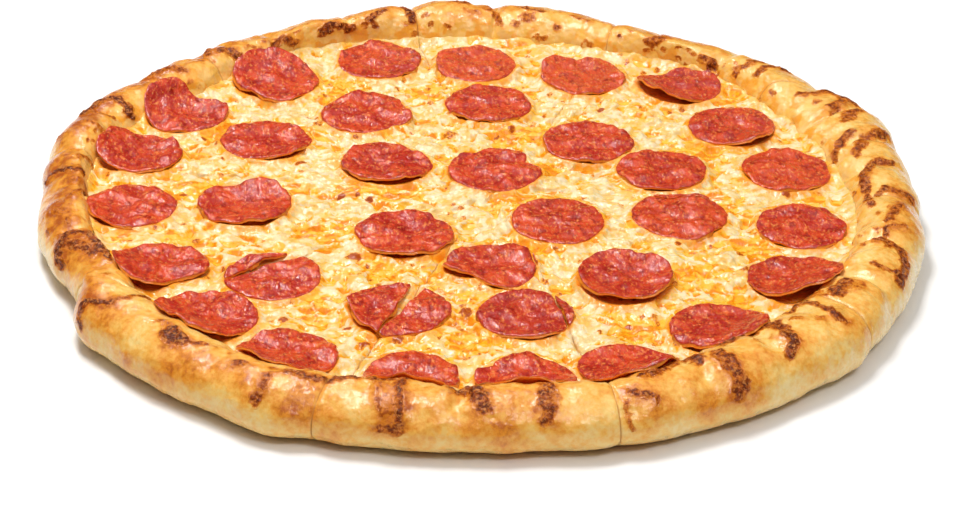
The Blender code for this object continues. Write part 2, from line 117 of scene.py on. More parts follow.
# Each piece: number, x, y, radius, how deep a cup it makes, dents (angle, depth, half width in degrees)
# and bends (angle, height, share of the radius where the bend starts)
SAUSAGE = (
    (1, -47, 130, 18.6, 0.4, [(270, -0.8, 20)], []),
    (2, -3.5, 127.5, 18, 0.3, [(150, -2, 12), (115, 1.4, 18)], [(160, 1, 0.3)]),
    (3, -90.5, 107.5, 19, 0.3, [(283, -2, 16), (20, 0.8, 30), (240, 1, 16)], []),
    (4, 44, 117.5, 18.7, 0.3, [(100, 3.4, 12), (140, -1.2, 14)], [(140, 3, 0.3)]),
    (5, 86.5, 110, 18.2, 0.3, [(122, 5, 24), (165, -2.6, 14)], [(222, 6, 0.1)]),
    (6, -128, 72.5, 18.6, 0.3, [(58, 6, 24), (18, -1.8, 14), (155, 2.8, 28)], [(20, 2, 0.4)]),
    (7, -50.5, 76, 18.8, 0.4, [(345, -1.4, 14), (312, 1.8, 14), (110, 0.8, 20)], [(75, 1, 0.3)]),
    (8, 2, 88.5, 18.4, 0.4, [(350, -0.8, 20)], []),
    (9, 106.5, 71, 18.8, 0.3, [(112, 1.6, 12), (220, -1, 16)], [(300, 3, 0.35)]),
    (10, -91, 49, 18.6, 0.4, [(180, -1.2, 12), (0, -1.2, 12), (45, 0.8, 20)], [(300, 2.4, 0.35)]),
    (11, 44, 53, 18.8, 0.5, [(355, -1, 14)], []),
    (12, -143, 34, 18.4, 0.3, [(95, 2.4, 14), (255, 1.8, 22), (165, 2, 24)], [(290, 1.6, 0.4)]),
    (13, -39.5, 30.5, 18.9, 0.4, [(52, 3, 28), (0, -0.6, 20)], [(275, 2.6, 0.2), (135, 1.4, 0.3)]),
    (14, 5, 25.5, 19, 0.4, [(117, 2.6, 9), (30, 3.4, 9), (355, -1.4, 14)],
     [(150, 1.2, 0.3), (75, 1, 0.3)]),
    (15, 74.5, 28.5, 18.8, 0.5, [(98, 1.8, 10), (270, 1.2, 40)], []),
    (16, 126, 30, 18.6, 0.5, [], []),
    (17, -140.5, -11.5, 18.4, 0.3, [(150, 1, 14)], [(200, 3, 0.3)]),
    (18, -95, -8, 19, 0.4, [(105, 2.2, 14), (330, 1, 14)], [(60, 1.6, 0.3), (280, 1.8, 0.4)]),
    (19, 31, -17, 18.9, 0.6, [], []),
    (20, 79.5, -11, 19.4, 0.3, [(20, -0.6, 16), (270, 0.8, 40), (215, 1.2, 12)], [(340, 0.8, 0.4)]),
    (21, 128, -18, 18.6, 0.3, [(92, 2.4, 10), (68, 1.2, 8), (270, 0.8, 40)], []),
    (22, -30, -30.5, 19.2, 0.4, [(170, -1.2, 10), (48, 1.8, 7), (20, -0.6, 20)], [(265, 2.2, 0.4)]),
    (23, -122.5, -62, 18.7, 0.3, [(305, 7, 24), (350, -0.8, 14)], [(320, 1.4, 0.2)]),
    (24, -79.5, -66, 18.6, 0.3, [], [(30, 0.8, 0.4)]),
    (25, 4.5, -54, 18.2, 0.3, [(240, 6.6, 18), (198, -1.2, 10)], [(235, 3.2, 0.2)]),
    (26, 56, -64, 18.5, 3.6, [], []),
    (27, 121.5, -60, 18.6, 0.3, [(55, -1.4, 10)], [(270, 3.6, -0.4)]),
    (28, -30, -89, 19.2, 0.3, [(172, -1.4, 10), (254, -3, 7)], [(190, 3.4, 0.2)]),
    (29, 17.5, -91.5, 18.4, 0.5, [(60, 0.8, 16)], [(280, 1.6, 0.4)]),
    (30, -101.5, -97.5, 19.4, 0.4, [(75, 1.2, 20)], []),
    (31, 89.5, -99, 18.8, 0.3, [(55, 1.8, 9)], [(40, 1.2, 0.4)]),
    (32, -70, -125, 18.7, 0.3, [(270, 2, 30)], []),
    (33, -24.5, -138, 18.2, 0.3, [(170, 1, 16), (270, 4, 34)], []),
    (34, 17.5, -140, 18.8, 0.3, [(140, 1.6, 9), (270, 5, 34)], [(160, 1.2, 0.4)]),
    (35, 55, -129.5, 18.8, 0.3, [(235, -2, 9), (90, 0.8, 30), (290, 3.6, 24)], []),
)

# Pieces that the knife went through: which cut, width of the gap, how far the halves open in degrees
SPLIT = {20: (0, 0.9, 0), 24: (6, 0.7, 7), 25: (8, 0.7, 0), 28: (7, 0.8, 7), 29: (8, 0.8, 0)}

# Burnt cheese and dark bubbles on the rim: half width in mm, how dark, then points along the mark as
# (angle about the middle, angle over the rim: 0 outermost, 90 the crest, 180 where the cheese starts)
MARKS = (
    (1.5, 0.75, (8.5, 70), (9, 90), (7, 110), (3, 125), (359.5, 125), (356, 120)),
    (1.5, 0.7, (12.5, 110), (16, 95), (17.5, 70), (18, 45)),
    (1.5, 0.7, (13.5, 150), (16, 135), (17.5, 120), (18, 110)), (1.5, 0.95, (17, 60)),
    (1.5, 0.7, (22, 105), (24, 90), (24, 70)), (1, 0.75, (25, 110), (27, 95), (28, 75)),
    (1, 0.8, (31.5, 95), (31, 70), (28.5, 70), (27, 60)), (1, 0.6, (33, 105), (32, 105)),
    (1, 0.9, (41, 65), (40, 65)), (1.5, 0.7, (42, 120), (42, 90), (41.5, 65)),
    (1, 0.6, (46, 140), (45, 110), (45, 85), (44, 75)), (1.5, 0.8, (52.5, 125), (51, 125), (50.5, 140)),
    (2.5, 0.65, (62, 120), (61, 90)), (1.5, 0.45, (62, 145)), (0.6, 0.8, (67.5, 120)),
    (1.5, 0.3, (73, 155), (71, 165)), (0.6, 0.55, (76, 90), (73, 100)), (1.5, 0.7, (78, 130)),
    (1, 0.5, (81.5, 155), (80, 155)), (2.5, 0.55, (83, 115)), (0.6, 0.8, (84, 90), (81, 95)),
    (1.5, 0.5, (85, 130)), (1, 0.55, (90, 95), (88.5, 100), (87.5, 130)), (1, 0.4, (93.5, 105), (91, 110)),
    (0.6, 0.8, (94.5, 85), (92.5, 80)), (1, 0.6, (96, 145)), (1, 0.9, (103, 80), (102, 95), (102, 125)),
    (1, 0.75, (106, 95), (108, 105), (109, 120), (108, 135)),
    (2, 0.85, (117, 130), (115.5, 115), (113.5, 120), (112.5, 130)), (2.5, 0.5, (124, 115)),
    (1.5, 0.65, (126, 125), (124, 110), (122, 140)), (1, 0.35, (130.5, 110), (129, 120)),
    (1.5, 0.75, (135, 85), (134, 90), (133, 120)), (1, 0.8, (137, 80), (135.5, 65)),
    (1.5, 0.7, (147, 70), (144.5, 70), (143.5, 100)),
    (1.5, 0.95, (162, 65), (158, 65), (156.5, 80), (157, 110), (158, 140)), (1, 0.7, (162, 85), (161, 120)),
    (0.6, 0.6, (165, 75), (166, 125)), (0.6, 0.6, (168, 40)), (1, 0.55, (175, 90), (173, 145)),
    (0.6, 0.9, (178.5, 25), (178, 40), (178.5, 60), (179.5, 115)), (1, 0.45, (182, 85), (181, 145)),
    (1, 0.65, (186.5, 85), (181, 165)), (1, 0.55, (189.5, 55), (191.5, 75)),
    (0.6, 0.65, (193, 70), (194, 75)), (0.6, 0.7, (193, 35)), (2.5, 0.75, (199, 55), (203, 75)),
    (1.5, 0.9, (201, 20), (198.5, 40), (197, 60), (197, 75), (198.5, 90), (203, 85), (206.5, 95)),
    (1, 0.9, (215.5, 15), (214, 30), (214, 45), (217, 70)), (0.6, 0.75, (217, 70), (218, 130)),
    (1, 0.45, (225, 90), (227, 90)), (2.5, 0.95, (228, 80), (230, 80)), (1, 0.65, (231, 80), (233, 90)),
    (1, 0.8, (239, 80), (240, 85)), (1.5, 0.6, (244, 80), (244, 60), (244, 35)), (1.5, 0.8, (244, 40)),
    (1.5, 0.75, (246, 95), (248, 90), (250, 90), (251, 90)), (1.5, 0.8, (252, 100), (254, 110)),
    (1, 0.75, (256, 110), (260.5, 110)), (0.6, 0.5, (257, 100), (259, 25)), (1, 0.7, (259, 20), (261, 15)),
    (3, 0.35, (259, 85), (260, 25)), (1, 0.8, (260, 100), (261, 25)), (1.5, 1, (266.5, 110), (268, 90)),
    (2, 0.8, (268, 110), (270, 85), (271, 55)), (1, 0.55, (270, 110), (272, 105)),
    (1.5, 0.75, (278.5, 55), (278, 35)), (2.5, 0.7, (279, 90), (278.5, 55)),
    (0.6, 0.5, (288, 60), (288, 15)), (0.6, 0.8, (289, 70), (291.5, 55), (291.5, 45)),
    (2, 0.75, (292, 100), (295, 110), (297, 120)), (1, 0.65, (299, 120), (301, 115)), (2, 0.9, (300, 105)),
    (2, 0.75, (303, 100), (303, 65), (303, 40), (302, 30)),
    (2, 0.8, (306, 125), (309, 130), (313, 130), (315, 120), (314, 95)),
    (1.5, 0.9, (314, 95), (313, 70), (311.5, 60)), (0.6, 0.5, (317.5, 110), (318, 100)),
    (1, 0.8, (319.5, 130), (323, 135), (323.5, 120), (323, 100), (322, 80), (322, 60)), (1, 0.5, (320, 90)),
    (3, 0.4, (327, 125), (331, 90)), (2, 0.8, (331, 105), (327.5, 105)),
    (1, 0.7, (338, 90), (337.5, 70), (338, 50)), (1.5, 0.9, (338, 50), (337, 40)),
    (1.5, 0.7, (344.5, 100), (344, 80), (344, 60), (342, 45), (339, 40)),
    (0.6, 0.8, (347.5, 90), (349, 85), (350, 65)), (1, 0.45, (348, 105)),
    (1, 0.7, (350.5, 90), (353, 85), (356, 70)), (1.5, 0.75, (359, 100), (0.5, 90), (0, 65), (359.5, 45)),
)

# Browned blisters in the cheese: x, y, radius, how brown
BLISTERS = (
    (-49, -47, 3.2, 0.8), (-49, -102, 2, 0.7), (-42, -113, 2.4, 0.8), (-73, -97, 2.2, 0.6),
    (-78, -98, 1.4, 0.5), (-30, -110, 2.8, 0.6), (-5, -90, 2.8, 0.7), (-4, -122, 1.6, 0.6),
    (51, 87, 1.6, 0.9), (21, 72, 1.8, 0.8), (-14, 78, 1.8, 0.6), (12, 67, 1.8, 0.7), (133, 74, 2, 0.6),
    (124, 10, 2, 0.8), (56, -95, 1.6, 0.8), (-117, 51, 1.6, 0.7), (-121, 3, 1.6, 0.8), (-112, -36, 2, 0.6),
    (-14, 60, 3.6, 0.5), (-75, 29, 2.4, 0.7), (-70, 66, 2.4, 0.5), (78, -34, 1.8, 0.8), (6, 61, 1.8, 0.8),
    (-100, 101, 2, 0.7), (103, -53, 2, 0.6), (-107, 88, 1.6, 0.5), (-91, -114, 1.6, 0.5),
    (45, -102, 1.2, 0.6), (-23, 90, 1.6, 0.5), (-57, 4, 2.2, 0.8), (-50, 5, 1.6, 0.8), (-45, 1, 2, 0.8),
)

# Pale domes of cheese with air under them: x, y, radius
BUBBLES = (
    (74, -34, 7.6), (-83, 30, 4), (-103, 28, 5.2), (-93, 35, 4), (70, 149, 3.2), (16, 134, 3.6),
    (49, 17, 4), (-4, -40, 3.2), (86, -75, 4), (-57, -74, 4), (-112, -24, 3.6), (-11, -102, 3.6),
    (115, -23, 3.6), (0, -11, 3.6), (-69, -35, 3.6), (33, 101, 3.6), (-127, 93, 3.6),
)

# Places where orange oil has pooled on the cheese: x, y, radius
POOLS = (
    (27, -2, 9), (24, 28, 6), (14, -38, 8), (-12, -118, 8), (-2, -104, 9), (-32, -106, 7), (-57, -28, 8),
    (-38, 8, 9), (78, -60, 9), (88, -78, 8), (60, -98, 9), (92, 2, 8), (-68, 92, 7), (-20, 100, 8),
    (18, 62, 8), (-110, 55, 8), (-118, 5, 7), (-60, -85, 8), (-95, -40, 7), (106, -35, 7), (98, 48, 7),
)

# Where each cut shows in the cheese: distance from the crossing point where it starts and ends, and how
# plainly. Elsewhere the melted cheese has closed over it.
CUT_SHOWS = (
    (95, 160, 0.25), (100, 165, 0.35), (52, 108, 0.6), (60, 160, 0.8), (75, 110, 0.45), (45, 165, 0.5),
    (85, 125, 0.6), (48, 165, 1), (88, 165, 1), (120, 165, 0.4),
)


def wrap(angle):
    return (angle + 180) % 360 - 180


def bump(angle, at, half):
    return np.exp(-0.5 * (wrap(angle - at) / half) ** 2)


def smooth(value, low, high):
    part = np.clip((value - low) / (high - low), 0, 1)
    return part * part * (3 - 2 * part)


def fade(value, low, high):
    return 1 - smooth(value, low, high)


def pair(a, b):
    return np.stack([a, b], -1)


def heading(x, y):
    return np.degrees(np.arctan2(y, x))


def scramble(cell, seed):
    """A whole number from 0 to 2**32 for each lattice cell."""
    code = np.full(cell.shape[:-1], seed * 7919 + 101, np.int64)
    for k, prime in zip(range(cell.shape[-1]), (374761393, 668265263, 2246822519)):
        code = code + cell[..., k] * prime
    code = ((code ^ (code >> 13)) & 0xFFFFFFFF) * 1274126177 & 0xFFFFFFFF
    return code ^ (code >> 16)


def lattice(points, seed):
    """Gradient noise from about -1 to 1, at points of two or three coordinates."""
    base = np.floor(points).astype(np.int64)
    part = points - base
    ease = part ** 3 * (part * (part * 6 - 15) + 10)
    total = 0
    for corner in itertools.product((0, 1), repeat=points.shape[-1]):
        code = scramble(base + np.array(corner), seed)
        away = part - np.array(corner)
        turn = (code & 0xFFFF) * (2 * math.pi / 65536)
        dot = np.cos(turn) * away[..., 0] + np.sin(turn) * away[..., 1]
        if points.shape[-1] == 3:
            up = (code >> 16) / 32768 - 1
            dot = np.sqrt(1 - up * up) * dot + up * away[..., 2]
        weight = np.prod(np.where(np.array(corner) == 1, ease, 1 - ease), axis=-1)
        total = total + weight * dot
    return total * 1.7


def noise(points, size, seed, octaves=1, gain=0.5):
    points = np.asarray(points, float) / size
    total, level, whole = 0, 1, 0
    for octave in range(octaves):
        total = total + level * lattice(points * 2 ** octave + 19.7 * octave, seed + 31 * octave)
        whole += level * level
        level *= gain
    return total / math.sqrt(whole)


def scattered(points, size, seed):
    """Distance to the nearest of points scattered one to a cell, in cells, and its own random number."""
    points = np.asarray(points, float) / size
    base = np.floor(points).astype(np.int64)
    near = np.full(points.shape[:-1], 9.0)
    own = np.zeros(points.shape[:-1])
    for step in itertools.product((-1, 0, 1), repeat=2):
        cell = base + np.array(step)
        code = scramble(cell, seed)
        px = cell[..., 0] + (code & 0xFFFF) / 65536
        py = cell[..., 1] + (code >> 16) / 65536
        far = np.hypot(points[..., 0] - px, points[..., 1] - py)
        closer = far < near
        near = np.where(closer, far, near)
        own = np.where(closer, (scramble(cell, seed + 5) & 0xFFFF) / 65536, own)
    return near, own


# The same plan shapes as the solids

def rim_shape(theta):
    """Outer radius, crest height and cheese radius of the rim at angles about the middle."""
    table = np.array(RIM)
    step = 360 / len(table)
    place = (theta % 360) / step
    first = np.floor(place).astype(int) % len(table)
    part = smooth(place - np.floor(place), 0, 1)
    rows = table[first] + (table[(first + 1) % len(table)] - table[first]) * part[..., None]
    outer, height, inner = rows[..., 0], rows[..., 1], rows[..., 2]
    for at, sink, draw, half in FOLDS:
        near = bump(theta, at, half)
        height = height - sink * near
        outer = outer - draw * near
    for cut in range(SLICES):
        near = bump(theta, rim_angle(cut), CUT_DIP[2])
        height = height - CUT_DIP[0] * near
        outer = outer - CUT_DIP[1] * near
    return outer, height, inner


def cut_angle(cut, reach):
    swing, near, far = CUT_SWING.get(cut % SLICES, (0, 0, 1))
    return CUTS[cut % SLICES] + swing * smooth(np.asarray(reach, float), near, far)


def rim_angle(cut):
    """Angle about the middle at which a cut goes through the rim."""
    way, reach = math.radians(float(cut_angle(cut, 180))), 165
    x, y = CUT_X + reach * math.cos(way), CUT_Y + reach * math.sin(way)
    return math.degrees(math.atan2(y, x))


RIM_THETA = np.arange(0, 360.25, 0.25)
RIM_SIZES = rim_shape(RIM_THETA)


def rim(theta):
    return tuple(np.interp(np.asarray(theta, float) % 360, RIM_THETA, size) for size in RIM_SIZES)


def crest_of(outer):
    return outer - OUTER_HALF


def wall_height(radius, outer, height, inner):
    crest = crest_of(outer)
    side = np.where(radius > crest, OUTER_HALF, crest - inner)
    part = np.clip(np.abs(radius - crest) / side, 0, 1)
    return EQUATOR + (height - EQUATOR) * np.sqrt(1 - part * part)


def cheese_height(x, y):
    waves = 0.35 * np.sin(x / 17 + 0.6) * np.cos(y / 21 - 0.4)
    waves = waves + 0.25 * np.sin((x + y) / 11) * np.sin((x - 0.7 * y) / 13 + 1.1)
    return CHEESE_TOP + waves


def ground(x, y):
    radius = np.hypot(x, y)
    outer, height, inner = rim(heading(x, y))
    wall = wall_height(radius, outer, height, inner)
    wall = wall + WALL_CLEAR * np.clip((radius - inner) / 8, 0, 1)
    return np.where(radius > inner, np.maximum(wall, cheese_height(x, y)), cheese_height(x, y))


def along(phi, radius_at):
    """Distance from the crossing point, in direction phi, to the radius that radius_at gives."""
    ux, uy = np.cos(np.radians(phi)), np.sin(np.radians(phi))
    px, py = CUT_X, CUT_Y
    reach = np.full(np.shape(phi), 160.0)
    for _ in range(6):
        target = radius_at(heading(px + reach * ux, py + reach * uy))
        dot = px * ux + py * uy
        reach = -dot + np.sqrt(dot * dot - px * px - py * py + target * target)
    return reach


def across(cut, u, reach, gap):
    """Plan position at a share u of the way across a slice and a distance from the crossing point."""
    first, last = cut_angle(cut, reach), cut_angle(cut + 1, reach)
    last = last + 360 * (last < first)
    edge = [np.degrees(g / np.maximum(reach, 1)) for g in (gap(cut, reach), gap(cut + 1, reach))]
    phi = first + edge[0] + u * (last - first - edge[0] - edge[1])
    way = np.radians(phi)
    return phi, CUT_X + reach * np.cos(way), CUT_Y + reach * np.sin(way)


def on_slice(cut, u, radius_at, gap):
    """The same, out to the radius that radius_at gives for an angle about the middle."""
    reach = np.full(np.shape(u), 160.0)
    for _ in range(5):
        phi = across(cut, u, reach, gap)[0]
        reach = along(phi, radius_at)
    return reach


def cut_distance(cut, u, x, y):
    """How far a point of a slice is from the nearer of its two cuts."""
    reach = np.hypot(x - CUT_X, y - CUT_Y)
    first, last = cut_angle(cut, reach), cut_angle(cut + 1, reach)
    width = np.radians(last - first + 360 * (last < first)) * reach
    return np.minimum(u, 1 - u) * width


def slice_width(cut, radius):
    return math.radians((CUTS[(cut + 1) % SLICES] - CUTS[cut]) % 360) * radius


def knife_line(cut, reach, apart):
    """Points for the noise along a cut, away from those of the other cuts."""
    return pair(np.asarray(reach, float), np.full(np.shape(reach), apart * (cut % SLICES)))


def level_points(cut, u, reach, height, gap):
    """A column of points at one height, from cut to cut."""
    _, x, y = across(cut, u, np.full(len(u), 1.0) * reach, gap)
    return np.stack([x, y, np.full(len(u), height)], -1)[:, None, :]


# Slices of sausage seen from above

def edge_of(row, angle):
    """Radius of a slice of sausage in a direction, with its dents."""
    number, _, _, radius, _, dents, _ = row
    edge = radius + 0.25 * np.sin(np.radians(3 * angle + 70 * number))
    edge = edge + 0.2 * np.sin(np.radians(5 * angle + 41 * number))
    for at, depth, half in dents:
        edge = edge - depth * bump(angle, at, half)
    return edge


def reach_of(row, hub, ways):
    """How far rays from the hub run before they leave the round slice."""
    _, cx, cy = row[:3]
    low, high = np.zeros(len(ways)), np.full(len(ways), 60.0)
    for _ in range(26):
        mid = 0.5 * (low + high)
        x, y = hub[0] + mid * np.cos(ways) - cx, hub[1] + mid * np.sin(ways) - cy
        inside = np.hypot(x, y) < edge_of(row, heading(x, y))
        low, high = np.where(inside, mid, low), np.where(inside, high, mid)
    return low


def bend(share, start):
    return np.maximum(0, (share - start) / (1 - start)) ** 1.7


def sausage_top(row, x, y):
    _, cx, cy, radius, cup, _, bends = row
    far = math.hypot(cx, cy)
    out = (cx / far, cy / far)
    dx, dy = (x - cx) / radius, (y - cy) / radius
    centre = float(ground(cx, cy))
    lean = float(ground(cx + 0.94 * radius * out[0], cy + 0.94 * radius * out[1])) - centre
    z = centre + max(0, lean) * bend(dx * out[0] + dy * out[1], -0.25)
    z = z + cup * (dx * dx + dy * dy)
    for angle, height, start in bends:
        way = math.radians(angle)
        z = z + height * bend(dx * math.cos(way) + dy * math.sin(way), start)
    return np.maximum(z, ground(x, y)) + LAYER_GAP + 0.3 + SLICE_THICK


# Meshes

def grid_faces(rows, columns):
    """Quads of a grid of rows by columns, the columns closed into a loop."""
    a = np.arange(rows - 1)[:, None] * columns + np.arange(columns)[None, :]
    b = np.arange(rows - 1)[:, None] * columns + (np.arange(columns)[None, :] + 1) % columns
    return np.stack([a, b, b + columns, a + columns], -1).reshape(-1, 4)


def put_in_scene(name, data):
    made = bpy.data.objects.new(name, data)
    STAGE.collection.objects.link(made)
    return made


def make(name, points, quads, others, fields, look):
    """A mesh from points in millimetres, quads as an array, other faces as lists, and named fields."""
    points = (np.asarray(points, float) - np.array([MIDDLE[0], MIDDLE[1], 0])) * MM
    low, high = np.array(solid_box[0]) + 1e-5, np.array(solid_box[1]) - 1e-5
    points = np.clip(points, low, high)
    sizes = np.concatenate([np.full(len(quads), 4), [len(f) for f in others]]).astype(np.int32)
    loops = np.concatenate([quads.reshape(-1), *others]).astype(np.int32)
    mesh = bpy.data.meshes.new(name)
    mesh.vertices.add(len(points))
    mesh.vertices.foreach_set("co", points.astype(np.float32).reshape(-1))
    mesh.loops.add(len(loops))
    mesh.loops.foreach_set("vertex_index", loops)
    mesh.polygons.add(len(sizes))
    mesh.polygons.foreach_set("loop_start", (np.cumsum(sizes) - sizes).astype(np.int32))
    mesh.update(calc_edges=True)
    mesh.validate()
    for field, values in fields.items():
        layer = mesh.attributes.new(field, "FLOAT", "POINT")
        layer.data.foreach_set("value", values.astype(np.float32).reshape(-1))
    mesh.shade_smooth()
    mesh.materials.append(look)
    made = put_in_scene(name + "_dressed", mesh)
    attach(made, "root")
    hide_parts(name)


def normals_of(points):
    """Unit normals of a grid of points."""
    normal = np.cross(np.gradient(points, axis=0), np.gradient(points, axis=1))
    return normal / np.maximum(np.linalg.norm(normal, axis=-1, keepdims=True), 1e-9)


def columns_of(width, spacing):
    """Shares across a slice of that width in mm, with extra columns beside both cuts."""
    close = np.array([0.1, 0.25, 0.45, 0.7, 1, 1.4]) / width
    middle = np.linspace(1.9 / width, 1 - 1.9 / width, max(8, int(width / spacing)))
    return np.concatenate([[0], close, middle, 1 - close[::-1], [1]])


def mark_field(theta, turn, radius, points):
    """How burnt the rim is, from the table of marks, with ragged edges."""
    warp = 1.6 * pair(noise(points, 4.5, 61, 3), noise(points, 4.5, 62, 3))
    burnt, halo = np.zeros(theta.shape), np.zeros(theta.shape)
    span = np.unwrap(np.radians(theta[:, 0]))
    middle = math.degrees(0.5 * (span.min() + span.max()))
    for half, dark, *places in MARKS:
        if abs(wrap(places[0][0] - middle)) > 45:
            continue
        nearest = np.full(theta.shape, 99.0)
        ends = places if len(places) > 1 else [places[0], places[0]]
        for (t0, v0), (t1, v1) in zip(ends[:-1], ends[1:]):
            ax = wrap(theta - t0) * radius * math.pi / 180 + warp[..., 0]
            ay = (turn - v0) * ARCH + warp[..., 1]
            bx = wrap(t1 - t0) * radius * math.pi / 180
            by = (v1 - v0) * ARCH
            part = np.clip((ax * bx + ay * by) / np.maximum(bx * bx + by * by, 1e-6), 0, 1)
            nearest = np.minimum(nearest, np.hypot(ax - part * bx, ay - part * by))
        burnt = np.maximum(burnt, dark * fade(nearest, 0.8 * half, 1.7 * half + 1))
        halo = np.maximum(halo, dark * np.exp(-np.maximum(nearest - half, 0) / 2.6))
    return burnt, halo


def crust_gap(cut, reach):
    return 0.12 + 0.1 * noise(knife_line(cut, reach, 37), 7, 71)


def crust(cut, look):
    u = columns_of(slice_width(cut, 168), CRUST_STEP)
    # Turns over the rim, from under its outer side to the cheese, and one that faces up
    turns = np.linspace(-84, 178, CRUST_ROWS)
    facing_up = 60
    U, V = np.meshgrid(u, turns, indexing="ij")
    c, s = np.cos(np.radians(V)), np.sin(np.radians(V))

    def radius_at(theta):
        outer, _, inner = rim(theta)
        crest = crest_of(outer)
        return crest + np.where(c > 0, OUTER_HALF - 0.2, crest - inner) * c

    _, x, y = across(cut, U, on_slice(cut, U, radius_at, crust_gap), crust_gap)
    theta = heading(x, y)
    outer, height, inner = rim(theta)
    z = EQUATOR + s * np.where(s > 0, height - 0.35 - EQUATOR, EQUATOR)
    points = np.stack([x, y, z], -1)
    normal = normals_of(points)
    if normal[len(u) // 2, facing_up, 2] < 0:
        normal = -normal
    radius = np.hypot(x, y)
    burnt, halo = mark_field(theta, V, radius, points)
    away = cut_distance(cut, U, x, y)
    # Relief: soft swellings, pleats on the inner wall, folds, burnt cheese standing proud
    open_face = smooth(V, -70, -20) * fade(V, 158, 176)
    inner_wall = smooth(V, 80, 115) * fade(V, 160, 176)
    relief = 0.95 * noise(points, 17, 11, 2) * open_face
    relief += 0.3 * noise(points, 5, 12, 3) * open_face
    pleat = pair(theta * 2.8 + 2 * noise(points, 8, 13), V * 0.06)
    relief += 0.8 * noise(pleat, 9, 14, 2) * inner_wall
    for at, sink, _, _ in FOLDS:
        if sink > 0.3:
            line = wrap(theta - at) + 1.2 * noise(points, 9, 15)
            window = smooth(V, 30, 75) * fade(V, 140, 170)
            relief -= 0.9 * sink * np.exp(-0.5 * (line / 0.5) ** 2) * window
            relief += 0.5 * sink * np.exp(-0.5 * ((np.abs(line) - 1.9) / 0.9) ** 2) * window
    rough = noise(points, 1.8, 16, 2)
    blister = noise(points, 3.2, 26, 2)
    relief += burnt * (0.6 + 0.6 * rough + 0.6 * blister) + 0.3 * halo
    relief -= 0.5 * np.exp(-(away / 0.7) ** 2) * smooth(V, -60, 0)
    points = points + normal * relief[..., None]
    # Baked colour: pale and soft below, brown over the shoulder, golden inside, with painted shade on the
    # front of the belly
    mottle = noise(points, 22, 17, 2)
    fine = noise(points, 5, 18, 3)
    bake_and_shade = 0.22 + 0.42 * smooth(V + 22 * mottle, -5, 48)
    bake_and_shade -= 0.26 * smooth(V + 20 * mottle, 72, 118)
    bake_and_shade += 0.24 * mottle + 0.12 * fine + 0.25 * fade(V, -78, -38) + 0.12 * relief
    freckle, own = scattered(pair(theta * ROUND, V * ARCH), 6.5, 23)
    freckle = freckle * 6.5 + 1.1 * noise(points, 2.2, 25, 2)
    freckles = fade(freckle, 0.2 + 0.5 * own, 1.4 + 2 * own) * (own > 0.7)
    halo = np.maximum(halo, 0.8 * freckles * smooth(V, 60, 110))
    freckles = 0.5 * freckles * smooth(V, 60, 110) * smooth(noise(points, 20, 24), -0.4, 0.3)
    burnt = np.maximum(burnt, freckles)
    bake_and_shade += 0.42 * halo * (1 + 0.6 * fine)
    # Browner round 150 degrees and paler round 5 and 315 degrees; darker on the front of the belly round 278
    # degrees, which is painted shade
    bake_and_shade += 0.14 * bump(theta, 150, 25) - 0.18 * bump(theta, 5, 30)
    bake_and_shade += 0.2 * bump(theta, 278, 35) * fade(V, 15, 50) - 0.1 * bump(theta, 315, 22)
    cheesy = smooth(V + 26 * noise(points, 9, 19, 3) + 9 * noise(points, 2.5, 20), 92, 138)
    oil = smooth(noise(points, 8, 21, 2) + 0.4 * noise(points, 2.6, 22, 2), -0.25, 0.4)
    oil = oil * smooth(V, 80, 115)
    foot = on_slice(cut, u, lambda t: rim(t)[2] - 0.4, crust_gap)
    heel = on_slice(cut, u, lambda t: crest_of(rim(t)[0]) - 2, crust_gap)
    below = [level_points(cut, u, reach, 0, crust_gap) for reach in (TIP, foot, heel)]
    above = [level_points(cut, u, reach, FLOOR_TOP, crust_gap) for reach in (foot, 95, 40, TIP)]
    whole = np.concatenate([*below, points, *above], axis=1)
    loop = whole.shape[1]
    quads = grid_faces(len(u), loop)
    n = len(turns)
    cap = [(0, 1, 3 + n, 4 + n, 5 + n, 6 + n), (1, 2, 3 + n)] + [(2, k, k + 1) for k in range(3, 3 + n)]
    caps = [tuple(reversed(f)) for f in cap] + [tuple((len(u) - 1) * loop + i for i in f) for f in cap]

    def field(values, before, after):
        return np.concatenate([np.full((len(u), 3), before), values, np.full((len(u), 4), after)], axis=1)

    # Along the cuts and on the cut faces the colour is painted shade
    fields = {
        "bake_and_shade": field(bake_and_shade, 0.5, 0.2), "burnt": field(burnt, 0, 0),
        "cheesy": field(cheesy, 0, 1), "oil": field(oil, 0, 0.3),
        "cut_shade": field(fade(away, 0.05, 0.35), 0, 1),
    }
    make(f"crust_{cut + 1:02d}", whole.reshape(-1, 3), quads, caps, fields, look)


def cut_shows(cut, reach):
    start, end, plain = CUT_SHOWS[cut % SLICES]
    reach = np.asarray(reach, float)
    wobble = noise(knife_line(cut, reach, 91), 11, 73, 2)
    window = smooth(reach + 8 * wobble, start - 8, start + 8) * fade(reach, end, end + 6)
    return np.clip(plain * window * (0.75 + 0.5 * wobble), 0, 1)


def cheese_gap(cut, reach):
    wobble = noise(knife_line(cut, reach, 53), 5, 72, 2)
    return 0.015 + np.clip(0.26 + 0.2 * wobble, 0.05, 0.5) * cut_shows(cut, reach)


def sausage_field(x, y):
    """Signed distance to the nearest slice of sausage in mm, and 1 on its front side to -1 behind."""
    nearest, side = np.full(x.shape, 60.0), np.zeros(x.shape)
    for row in SAUSAGE:
        dx, dy = x - row[1], y - row[2]
        far = np.hypot(dx, dy)
        gap = far - edge_of(row, heading(dx, dy))
        closer = gap < nearest
        nearest = np.where(closer, gap, nearest)
        side = np.where(closer, -dy / np.maximum(far, 1e-6), side)
    return nearest, side


